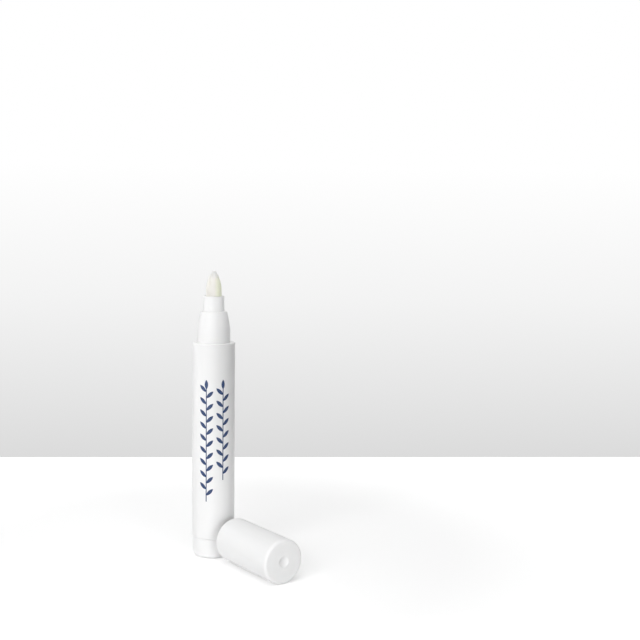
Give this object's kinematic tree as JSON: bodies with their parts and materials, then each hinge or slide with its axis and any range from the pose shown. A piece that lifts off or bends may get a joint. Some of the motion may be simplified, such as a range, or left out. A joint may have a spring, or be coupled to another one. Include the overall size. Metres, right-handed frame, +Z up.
{
  "type": "nail oil pen",
  "caption": "Round felt-tipped pen for nail oil, standing on its end plug with its bullet nib up and its pull-off cap lying beside it.",
  "frame": {"origin": "centre of the end plug's underside, on the surface that the pen stands on", "axes": "+Z up the pen's axis towards the nib; -Y along the lying cap's axis towards its closed end"},
  "size_m": [0.0159, 0.0455, 0.0941],
  "materials": {
    "body_plastic": "white satin-gloss moulded plastic",
    "nose_plastic": "white satin moulded plastic",
    "cap_plastic": "white gloss moulded plastic",
    "liner_plastic": "natural milky moulded plastic",
    "nib_felt": "cream pressed felt soaked with oil",
    "wadding": "white fibre wadding soaked with pale oil",
    "film": "thin milky film"
  },
  "bodies": {
    "pen": {"barrel": "body_plastic", "front_section": "nose_plastic", "nib": "nib_felt", "reservoir_core": "wadding", "reservoir_wrap": "film", "end_plug": "body_plastic"},
    "cap": {"cap": "cap_plastic", "cap_liner": "liner_plastic"}
  },
  "joints": [
    {"name": "cap_pull", "type": "slide", "parent": "pen", "child": "cap", "axis": [0, -1, 0], "range_m": [0, 0.0233]}
  ]
}
